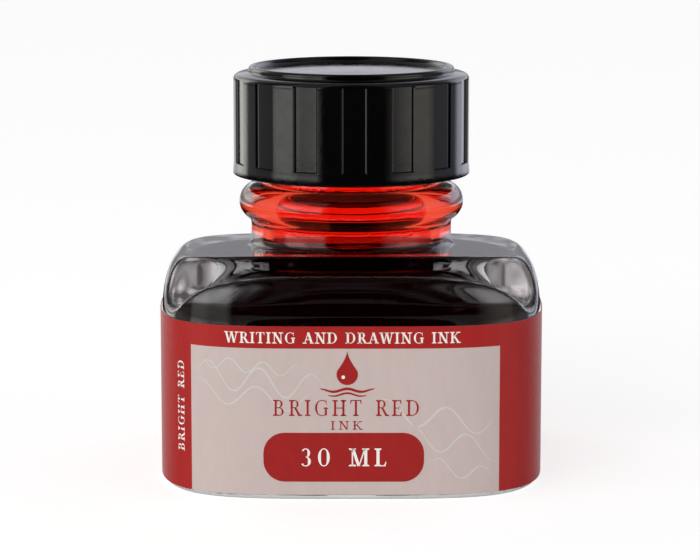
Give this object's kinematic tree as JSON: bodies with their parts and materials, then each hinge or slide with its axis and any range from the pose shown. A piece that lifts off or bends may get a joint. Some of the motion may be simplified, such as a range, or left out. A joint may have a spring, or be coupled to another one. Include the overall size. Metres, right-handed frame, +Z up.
{
  "type": "ink bottle",
  "caption": "Square glass ink bottle with rounded corners, a pen rest trough across the front of its shoulder, a short beaded neck and a fluted screw cap.",
  "frame": {"origin": "middle of the footprint, on the surface that the bottle stands on", "axes": "+Z up along the neck, -Y towards the front with the pen rest, +X to the right as seen from the front"},
  "size_m": [0.045, 0.045, 0.0468],
  "materials": {
    "clear_glass": "clear moulded flint glass, smooth and glossy",
    "red_ink": null,
    "label_paper": null,
    "black_plastic": "glossy black moulded plastic",
    "white_foam": "white expanded polyethylene foam wad"
  },
  "bodies": {
    "bottle": {"glass_bottle": "clear_glass", "ink_fill": "red_ink", "label": "label_paper"},
    "liner": {"cap_liner": "white_foam"},
    "cap": {"screw_cap": "black_plastic"}
  },
  "joints": [
    {"name": "cap_lift", "type": "slide", "parent": "bottle", "child": "liner", "axis": [0, 0, 1], "range_m": [0, 0.0159]},
    {"name": "cap_turn", "type": "hinge", "parent": "liner", "child": "cap", "pos_m": [0, 0.005, 0.0339], "axis": [0, 0, 1], "range_deg": [0, 1800]}
  ],
  "couplings": [
    {"joint": "cap_lift", "follows": "cap_turn", "m_per_rad": 0.00050532}
  ]
}
